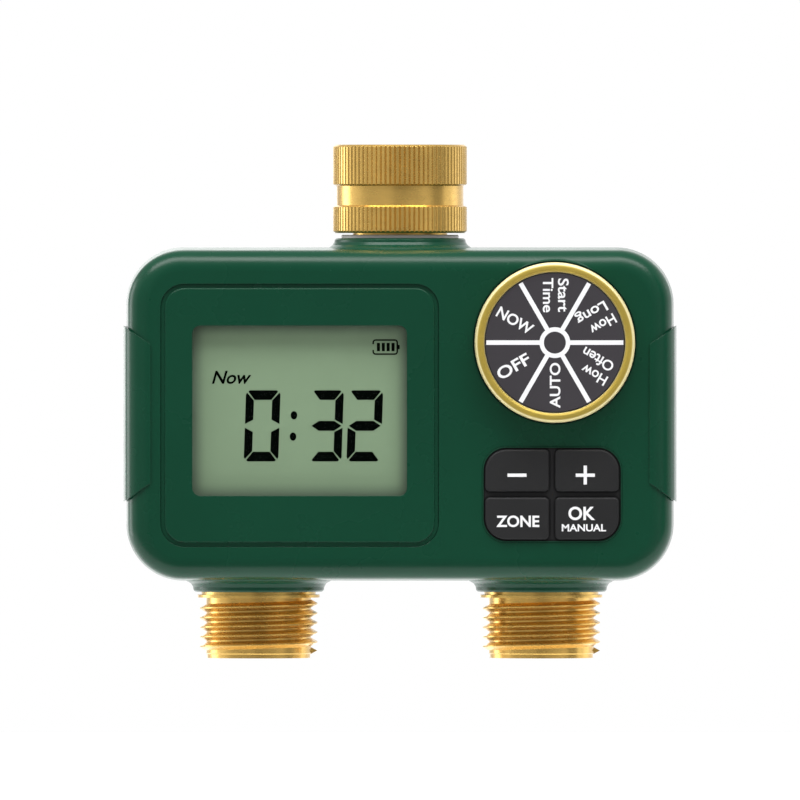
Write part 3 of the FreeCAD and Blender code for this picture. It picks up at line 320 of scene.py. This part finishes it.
GREEN = lin(7, 62, 42)
# The second display colour is painted shade for the panel's edge near the frame.
LCD_MID, LCD_PAINTED_SHADE = lin(130, 153, 123), lin(92, 110, 92)
M = {
    # The case and door greens carry a strong painted highlight along their rounded edges.
    "case_green": plastic("case_green_moulded", GREEN, (0.25, 0.31), spec=0.22, edge_highlight_gain=1.7),
    "door_green": plastic("door_green_moulded", scaled(GREEN, 0.95), (0.27, 0.34), spec=0.22, edge_highlight_gain=1.7),
    "inner_plastic": plastic("inner_black_moulded", lin(30, 30, 32), (0.45, 0.6)),
    "water_plastic": plastic("natural_moulded", lin(206, 205, 196), (0.4, 0.52)),
    "brass": brass("brass_turned", lin(224, 183, 99), (0.20, 0.28), (160, 160, 900), 0.10, metallic=0.78),
    # Dial ring: darker satin brass with painted highlights on both rims and a wide painted edge highlight.
    "dial_brass": brass("brass_satin", lin(192, 166, 70), (0.34, 0.42), (900, 900, 900), 0.25,
                        edge=0.00045, metallic=0.45, painted_rims=((0.0356, -0.0352), (0.01618, 0.01640, 0.01765, 0.01800), lin(255, 242, 184))),
    "grey_ring": plastic("grey_ring_moulded", lin(214, 208, 204), (0.35, 0.45)),
    "rubber": rubber("rubber_black", lin(26, 26, 27)),
    "key_rubber": rubber("rubber_keys", lin(34, 34, 35), (0.5, 0.62), 0.22, 0.15),
    "web_rubber": web_rubber("rubber_web", lin(28, 28, 29)),
    "dial_black": plastic("dial_black_matt", lin(60, 57, 61), (0.45, 0.55), 0.12, spec=0.25),
    "lens_clear": clear_lens("lens_clear_acrylic"),
    "lcd": display_panel("display_panel", *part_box("lcd_glass")),
    "board": plastic("board_masked", lin(20, 84, 48), (0.25, 0.35)),
    "chips": plastic("chip_black", lin(24, 24, 26), (0.45, 0.6)),
    "steel": metal("steel_plated", lin(176, 176, 178), (0.25, 0.38)),
    "stainless": metal("stainless_polished", lin(200, 200, 202), (0.15, 0.26)),
    "coil": metal("copper_winding", lin(176, 88, 50), (0.3, 0.42), (60, 60, 7000)),
    "cell_wrap": plastic("cell_sleeve", lin(40, 42, 46), (0.25, 0.34), coat=0.3),
    "contact_gold": metal("contact_plated", lin(214, 184, 110), (0.2, 0.3)),
}
for row in record["subparts"]:
    data = nodes[row["node"]].data
    data.materials.clear()
    data.materials.append(M[row["material_slot"]])
    for poly in data.polygons:
        poly.material_index = 0

WHITE_INK = ink("ink_white", lin(244, 244, 246), 0.45)
LCD_INK = ink("display_segments", lin(1, 3, 2), 0.6, spec=0.0)
ARROW_GREEN = M["case_green"]


# ------------------------------------------------------------- print and segments
def add(name, verts, faces, body, mat):
    me = bpy.data.meshes.new(name)
    me.from_pydata([tuple(v) for v in verts], [], faces)
    me.materials.append(mat)
    me.update()
    o = bpy.data.objects.new(name, me)
    bpy.context.scene.collection.objects.link(o)
    bm = bmesh.new()
    bm.from_mesh(me)
    bmesh.ops.recalc_face_normals(bm, faces=bm.faces)
    bm.to_mesh(me)
    bm.free()
    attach(o, body)
    return o


def plates(name, polys, y_back, thick, body, mat):
    """Closed flat shapes in the XZ plane (mm), standing thick mm proud of y_back toward -Y."""
    verts, faces = [], []
    for poly in polys:
        n, k = len(poly), len(verts)
        for x, z in poly:
            verts.append((x * MM, y_back - thick * MM, z * MM))
        for x, z in poly:
            verts.append((x * MM, y_back + 0.004 * MM, z * MM))
        faces.append(tuple(range(k, k + n)))
        faces.append(tuple(range(k + 2 * n - 1, k + n - 1, -1)))
        for i in range(n):
            j = (i + 1) % n
            faces.append((k + i, k + n + i, k + n + j, k + j))
    return add(name, verts, faces, body, mat)


def ring_plate(name, cx, cz, r0, r1, y_back, thick, body, mat, count=96):
    verts, faces = [], []
    for i in range(count):
        a = 2 * math.pi * i / count
        for r, y in ((r0, -thick), (r1, -thick), (r1, 0.004), (r0, 0.004)):
            verts.append(((cx + r * math.cos(a)) * MM, y_back + y * MM,
                          (cz + r * math.sin(a)) * MM))
    for i in range(count):
        j = (i + 1) % count
        for k in range(4):
            m = (k + 1) % 4
            faces.append((4 * i + k, 4 * i + m, 4 * j + m, 4 * j + k))
    return add(name, verts, faces, body, mat)


def letters(name, words, bold=0.012, shear=0.0, spacing=1.0):
    cu = bpy.data.curves.new(name, "FONT")
    cu.body = words
    cu.size = 1.0
    cu.offset = bold
    cu.shear = shear
    cu.space_character = spacing
    cu.resolution_u = 5
    cu.extrude = 0.01
    o = bpy.data.objects.new(name, cu)
    bpy.context.scene.collection.objects.link(o)
    bpy.context.view_layer.update()
    me = bpy.data.meshes.new_from_object(o.evaluated_get(bpy.context.evaluated_depsgraph_get()))
    bpy.data.objects.remove(o)
    bpy.data.curves.remove(cu)
    return me


def span(me):
    xs = [v.co.x for v in me.vertices]
    ys = [v.co.y for v in me.vertices]
    return min(xs), max(xs), min(ys), max(ys)


def label(name, words, cx, cz, width, cap, turn, y_back, body, mat, thick=0.03,
          bold=0.02, shear=0.0, spacing=1.0):
    """Text centred on (cx, cz) mm: given width and capital height in mm, turned anticlockwise."""
    ref = letters("ref", "H", bold)
    _, _, base, top = span(ref)
    bpy.data.meshes.remove(ref)
    me = letters(name, words, bold, shear, spacing)
    x0, x1, _, _ = span(me)
    sx, sy = width / (x1 - x0), cap / (top - base)
    ca, sa = math.cos(math.radians(turn)), math.sin(math.radians(turn))
    zs = [v.co.z for v in me.vertices]
    hi, lo = max(zs), min(zs)
    for v in me.vertices:
        u = (v.co.x - (x0 + x1) / 2) * sx
        w = (v.co.y - (base + top) / 2) * sy
        depth = thick * (v.co.z - lo) / (hi - lo) - 0.004
        v.co = Vector(((cx + u * ca - w * sa) * MM, y_back - depth * MM,
                       (cz + u * sa + w * ca) * MM))
    me.name = name
    me.materials.clear()
    me.materials.append(mat)
    o = bpy.data.objects.new(name, me)
    bpy.context.scene.collection.objects.link(o)
    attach(o, body)
    return o


def rect(x0, x1, z0, z1):
    return [(x0, z0), (x1, z0), (x1, z1), (x0, z1)]


def strip(ax, az, bx, bz, w):
    dx, dz = bx - ax, bz - az
    n = math.hypot(dx, dz)
    px, pz = -dz / n * w / 2, dx / n * w / 2
    return [(ax + px, az + pz), (ax - px, az - pz), (bx - px, bz - pz), (bx + px, bz + pz)]


def arc(cx, cz, r, a0, a1, n):
    return [(cx + r * math.cos(math.radians(a0 + (a1 - a0) * i / n)),
             cz + r * math.sin(math.radians(a0 + (a1 - a0) * i / n))) for i in range(n + 1)]


def digit(x0, x1, z0, z1, which, slant=0.56):
    """Seven-segment figure; x0..x1 is its width at the bottom edge before the slant."""
    W, H = x1 - x0 - slant, z1 - z0
    tv, th, m = 1.92, 2.2, H / 2
    k = 0.13
    seg = {
        "a": [(0.62 + k, H - 0.12), (0.95, H), (W - 0.95, H), (W - 0.62 - k, H - 0.12),
              (W - 0.45 - k, H - 0.32), (W - tv - k, H - th), (tv + k, H - th),
              (0.45 + k, H - 0.32)],
        "g": [(0.30, m), (tv + 0.05, m + th / 2 + 0.03), (W - tv - 0.05, m + th / 2 + 0.03),
              (W - 0.30, m), (W - tv - 0.05, m - th / 2 - 0.03), (tv + 0.05, m - th / 2 - 0.03)],
        "f": [(0.02, m + 0.42), (0.02, H - 1.0), (0.22, H - 0.62), (0.42 - k, H - 0.42 - k),
              (tv - 0.02, H - th - 0.14), (tv - 0.02, m + 1.42)],
    }
    seg["d"] = [(x, H - z) for x, z in seg["a"]]
    seg["e"] = [(x, H - z) for x, z in seg["f"]]
    seg["b"] = [(W - x, z) for x, z in seg["f"]]
    seg["c"] = [(W - x, H - z) for x, z in seg["f"]]
    return [[(x0 + x + slant * z / H, z0 + z) for x, z in seg[s]] for s in which]


# display
polys = digit(-36.0, -27.45, -62.55, -46.2, "abcdef")
polys += digit(-20.95, -12.9, -62.55, -46.2, "abcdg")
polys += digit(-12.35, -3.85, -62.55, -46.2, "abged")
plates("display_figures", polys, GLASS, 0.03, "housing", LCD_INK)
dots = []
for cx, cz in ((-24.4, -51.95), (-24.62, -56.85)):
    dots.append([(cx + 0.76 * math.cos(t * math.pi / 20), cz + 0.95 * math.sin(t * math.pi / 20))
                 for t in range(40)])
plates("display_colon", dots, GLASS, 0.03, "housing", LCD_INK)
bx0, bx1, bz0, bz1 = -6.35, -0.45, -38.05, -34.45
t, rr = 0.36, 0.75
out = arc(bx1 - rr, bz0 + rr, rr, -90, 0, 6) + arc(bx1 - rr, bz1 - rr, rr, 0, 90, 6)
inn = arc(bx1 - rr, bz1 - rr, rr - t, 90, 0, 6) + arc(bx1 - rr, bz0 + rr, rr - t, 0, -90, 6)
top_l = arc(bx0 + rr, bz1 - rr, rr, 90, 180, 6) + [(bx0, bz1 - 1.15), (bx0 + t, bz1 - 1.15)]
top_l += arc(bx0 + rr, bz1 - rr, rr - t, 180, 90, 6)
bot_l = arc(bx0 + rr, bz0 + rr, rr, 270, 180, 6) + [(bx0, bz0 + 1.15), (bx0 + t, bz0 + 1.15)]
bot_l += arc(bx0 + rr, bz0 + rr, rr - t, 180, 270, 6)
icon = [top_l, bot_l, rect(bx0 + rr, bx1 - rr, bz1 - t, bz1), rect(bx0 + rr, bx1 - rr, bz0, bz0 + t)]
icon.append(arc(bx1 - rr, bz1 - rr, rr, 90, 0, 6) + [(bx1, bz0 + rr)] +
            arc(bx1 - rr, bz0 + rr, rr, 0, -90, 6) + arc(bx1 - rr, bz0 + rr, rr - t, -90, 0, 6) +
            [(bx1 - t, bz1 - rr)] + arc(bx1 - rr, bz1 - rr, rr - t, 0, 90, 6))
icon.append(rect(bx1, bx1 + 0.38, -36.75, -35.75))
for i in range(4):
    icon.append(rect(-5.32 + 1.12 * i, -4.6 + 1.12 * i, -37.2, -35.3))
plates("display_battery_icon", icon, GLASS, 0.03, "housing", LCD_INK)
label("display_now", "Now", -38.75, -43.2, 9.1, 3.0, 0, GLASS, "housing", LCD_INK,
      bold=0.018, shear=0.28)

# dial
DX, DZ = 35.6, -35.2
spokes = []
for i in range(6):
    a = math.radians(60 * i)
    ca, sa = math.cos(a), math.sin(a)
    spokes.append(strip(DX + 3.4 * ca, DZ + 3.4 * sa, DX + 15.75 * ca, DZ + 15.75 * sa, 1.06))
plates("dial_spokes", spokes, FACE, 0.03, "dial", WHITE_INK)
ring_plate("dial_hub_ring", DX, DZ, 2.52, 3.55, FACE, 0.034, "dial", WHITE_INK)
WORDS = [("dial_word_start", "Start", 90, 10.9, 1.95, 7.7, 2.45, 0.018),
         ("dial_word_time", "Time", 90, 10.9, -1.55, 7.9, 2.4, 0.018),
         ("dial_word_how_a", "How", 30, 11.7, 1.9, 6.3, 2.4, 0.018),
         ("dial_word_long", "Long", 30, 10.75, -1.6, 7.6, 2.4, 0.018),
         ("dial_word_how_b", "How", 330, 11.5, 1.9, 6.3, 2.4, 0.018),
         ("dial_word_often", "Often", 330, 10.5, -1.6, 7.8, 2.4, 0.018),
         ("dial_word_auto", "AUTO", 270, 9.85, -0.05, 10.4, 2.42, 0.022),
         ("dial_word_off", "OFF", 210, 11.0, 0.0, 8.2, 2.75, 0.022),
         ("dial_word_now", "NOW", 150, 10.45, -0.2, 9.0, 2.55, 0.022)]
for name, word, ang, r, off, width, cap, bold in WORDS:
    a = math.radians(ang)
    rx, rz = math.cos(a), math.sin(a)
    dx, dz = -rx, -rz
    ux, uz = -dz, dx
    label(name, word, DX + rx * r + ux * off, DZ + rz * r + uz * off, width, cap,
          ang + 180, FACE, "dial", WHITE_INK, bold=bold)

# keys: a thin web closes the gap round each key a little below its face
def rounded(x0, x1, z0, z1, radii, grow=0.0, n=7):
    """Outline with corner radii in the order bottom left, bottom right, top right, top left."""
    rs = [r + grow for r in radii]
    x0, x1, z0, z1 = x0 - grow, x1 + grow, z0 - grow, z1 + grow
    out = arc(x0 + rs[0], z0 + rs[0], rs[0], 180, 270, n)
    out += arc(x1 - rs[1], z0 + rs[1], rs[1], 270, 360, n)
    out += arc(x1 - rs[2], z1 - rs[2], rs[2], 0, 90, n)
    out += arc(x0 + rs[3], z1 - rs[3], rs[3], 90, 180, n)
    return out


def gap_web(name, x0, x1, z0, z1, radii):
    inner = rounded(x0, x1, z0, z1, radii, 0.05)
    outer = rounded(x0, x1, z0, z1, radii, 0.29)
    n = len(inner)
    verts = []
    for y in (-27.1, -26.6):
        for pts in (inner, outer):
            verts += [(x * MM, y * MM, z * MM) for x, z in pts]
    faces = []
    for i in range(n):
        j = (i + 1) % n
        for a, b in ((0, n), (n, 3 * n), (3 * n, 2 * n), (2 * n, 0)):
            faces.append((a + i, a + j, b + j, b + i))
    return add(name, verts, faces, "housing", M["web_rubber"])


KR, KI = 4.9, 1.1
for key, x0, x1, z0, z1, radii in (
        ("minus", 19.6, 34.315, -69.465, -59.8, (KI, KI, KI, KR)),
        ("plus", 35.685, 50.4, -69.465, -59.8, (KI, KI, KR, KI)),
        ("zone", 19.6, 34.315, -80.5, -70.835, (KR, KI, KI, KI)),
        ("ok", 35.685, 50.4, -80.5, -70.835, (KI, KR, KI, KI))):
    gap_web("key_gap_web_" + key, x0, x1, z0, z1, radii)
ky = FRONT_KEYS
plates("key_minus_mark", [rect(24.72, 29.1, -66.1, -65.33)], ky, 0.03, "key_minus", WHITE_INK)
plates("key_plus_mark", [rect(40.42, 44.82, -66.1, -65.33), rect(42.24, 43.0, -65.34, -63.5),
                         rect(42.24, 43.0, -67.85, -66.09)], ky, 0.03, "key_plus", WHITE_INK)
label("key_zone_word", "ZONE", 27.1, -76.32, 9.9, 2.62, 0, ky, "key_zone", WHITE_INK,
      bold=0.026)
label("key_ok_word", "OK", 41.8, -74.5, 6.15, 3.05, 0, ky, "key_ok", WHITE_INK,
      bold=0.026)
label("key_manual_word", "MANUAL", 42.3, -77.8, 10.2, 1.66, 0, ky, "key_ok", WHITE_INK,
      bold=0.024)

# ------------------------------------------------------------------ stage, light, camera
scene = bpy.context.scene
scene.view_settings.view_transform = "Standard"
scene.view_settings.look = "None"

me = bpy.data.meshes.new("floor")
S = 6.0
FZ = CAD_BOX[0][2] - 0.12
me.from_pydata([(-S, -0.15, FZ), (S, -0.15, FZ), (S, S, FZ), (-S, S, FZ)], [], [(0, 1, 2, 3)])
floor = bpy.data.objects.new("floor", me)
scene.collection.objects.link(floor)
fm = Nodes("floor_paper")
fm.link(fm.blend(fm.noise(9, 3, 0.5), lin(250, 250, 250), lin(245, 245, 246)),
        fm.b.inputs["Base Color"])
fm.b.inputs["Roughness"].default_value = 0.9
fm.b.inputs["Specular IOR Level"].default_value = 0.1
fm.b.inputs["Emission Color"].default_value = (1, 1, 1, 1)
fm.b.inputs["Emission Strength"].default_value = 0.55
me.materials.append(fm.mat)

world = bpy.data.worlds.new("studio")
scene.world = world
world.use_nodes = True
wt = world.node_tree
wt.nodes.clear()
wo = wt.nodes.new("ShaderNodeOutputWorld")
seen = wt.nodes.new("ShaderNodeBackground")
seen.inputs["Color"].default_value = (1, 1, 1, 1)
seen.inputs["Strength"].default_value = 1.0
lit = wt.nodes.new("ShaderNodeBackground")
path = wt.nodes.new("ShaderNodeLightPath")
mix = wt.nodes.new("ShaderNodeMixShader")
tc = wt.nodes.new("ShaderNodeTexCoord")
sp = wt.nodes.new("ShaderNodeSeparateXYZ")
wt.links.new(tc.outputs["Generated"], sp.inputs[0])


def wmath(op, a, b=None):
    m = wt.nodes.new("ShaderNodeMath")
    m.operation = op
    for k, v in enumerate((a, b)):
        if isinstance(v, (int, float)):
            m.inputs[k].default_value = v
        elif v is not None:
            wt.links.new(v, m.inputs[k])
    return m.outputs[0]


# studio round the part, by bearing: 0 is the camera side, positive to the right
turn = wmath("ARCTAN2", sp.outputs["X"], wmath("MULTIPLY", sp.outputs["Y"], -1.0))
turn = wmath("ADD", wmath("DIVIDE", turn, 2 * math.pi), 0.5)
ramp = wt.nodes.new("ShaderNodeValToRGB")
STOPS = [(-180, 2.2), (-164, 2.0), (-158, 0.6), (-122, 0.5), (-114, 1.1), (-78, 1.1), (-66, 0.6),
         (-16, 0.55), (-9, 0.36), (9, 0.36), (16, 0.5), (36, 0.55), (44, 0.75), (56, 0.75), (64, 0.25),
         (84, 0.25), (90, 1.3), (140, 1.0), (155, 1.2), (180, 1.4)]
TOP_L = 2.4
while len(ramp.color_ramp.elements) < len(STOPS):
    ramp.color_ramp.elements.new(0.5)
for e, (deg, v) in zip(ramp.color_ramp.elements, STOPS):
    e.position = deg / 360 + 0.5
for e, (deg, v) in zip(ramp.color_ramp.elements, STOPS):
    e.color = (v / TOP_L, v / TOP_L, v / TOP_L, 1)
wt.links.new(turn, ramp.inputs["Fac"])
ring_l = wmath("MULTIPLY", ramp.outputs["Color"], TOP_L)
high = wt.nodes.new("ShaderNodeMapRange")
high.interpolation_type = "SMOOTHSTEP"
for k, v in zip(("From Min", "From Max", "To Min", "To Max"), (0.45, 0.75, 0.0, 1.0)):
    high.inputs[k].default_value = v
wt.links.new(sp.outputs["Z"], high.inputs["Value"])
up_part = wmath("MULTIPLY", high.outputs["Result"], 0.6)
side_part = wmath("MULTIPLY", wmath("SUBTRACT", 1.0, high.outputs["Result"]), ring_l)
wt.links.new(wmath("ADD", up_part, side_part), lit.inputs["Strength"])
lit.inputs["Color"].default_value = (1, 1, 1, 1)
wt.links.new(path.outputs["Is Camera Ray"], mix.inputs[0])
wt.links.new(lit.outputs[0], mix.inputs[1])
wt.links.new(seen.outputs[0], mix.inputs[2])
wt.links.new(mix.outputs[0], wo.inputs[0])


def area(name, at, to, w, h, power, colour=(1, 1, 1)):
    l = bpy.data.lights.new(name, "AREA")
    l.shape = "RECTANGLE"
    l.size, l.size_y, l.energy, l.color = w, h, power, colour
    o = bpy.data.objects.new(name, l)
    o.location = at
    o.rotation_euler = (Vector(to) - Vector(at)).to_track_quat("-Z", "Y").to_euler()
    scene.collection.objects.link(o)
    return o


mid = (0.0, 0.0, -0.05)
area("rim_left", (-0.70, 0.34, -0.02), mid, 0.3, 0.6, 2.0)
area("rim_right", (0.72, 0.38, -0.02), mid, 0.3, 0.6, 0.4)
area("top", (-0.04, -0.30, 0.68), mid, 1.3, 0.30, 11.5)

cam = bpy.data.cameras.new("camera")
cam_o = bpy.data.objects.new("camera", cam)
scene.collection.objects.link(cam_o)
scene.camera = cam_o
DIST, UP = 6.5, math.radians(0.3)
WIDE = 0.1848
target = Vector((0.0, 0.0, -0.04856))
cam_o.location = target + Vector((0.0, -DIST * math.cos(UP), DIST * math.sin(UP)))
cam_o.rotation_euler = (target - cam_o.location).to_track_quat("-Z", "Y").to_euler()
cam.sensor_width = 36.0
cam.lens = 36.0 * DIST / WIDE
cam.clip_start, cam.clip_end = 0.05, 60.0

# each spring and diaphragm of the two valves gets a mesh of its own
for side in ("left", "right"):
    for spring, joint, travel in (("plunger_spring_", "plunger_lift_", 0.0021),
                                  ("diaphragm_spring_", "poppet_lift_", 0.0026),
                                  ("diaphragm_", "poppet_lift_", 0.00242)):
        coil = bpy.data.objects[spring + side]
        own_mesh(coil)
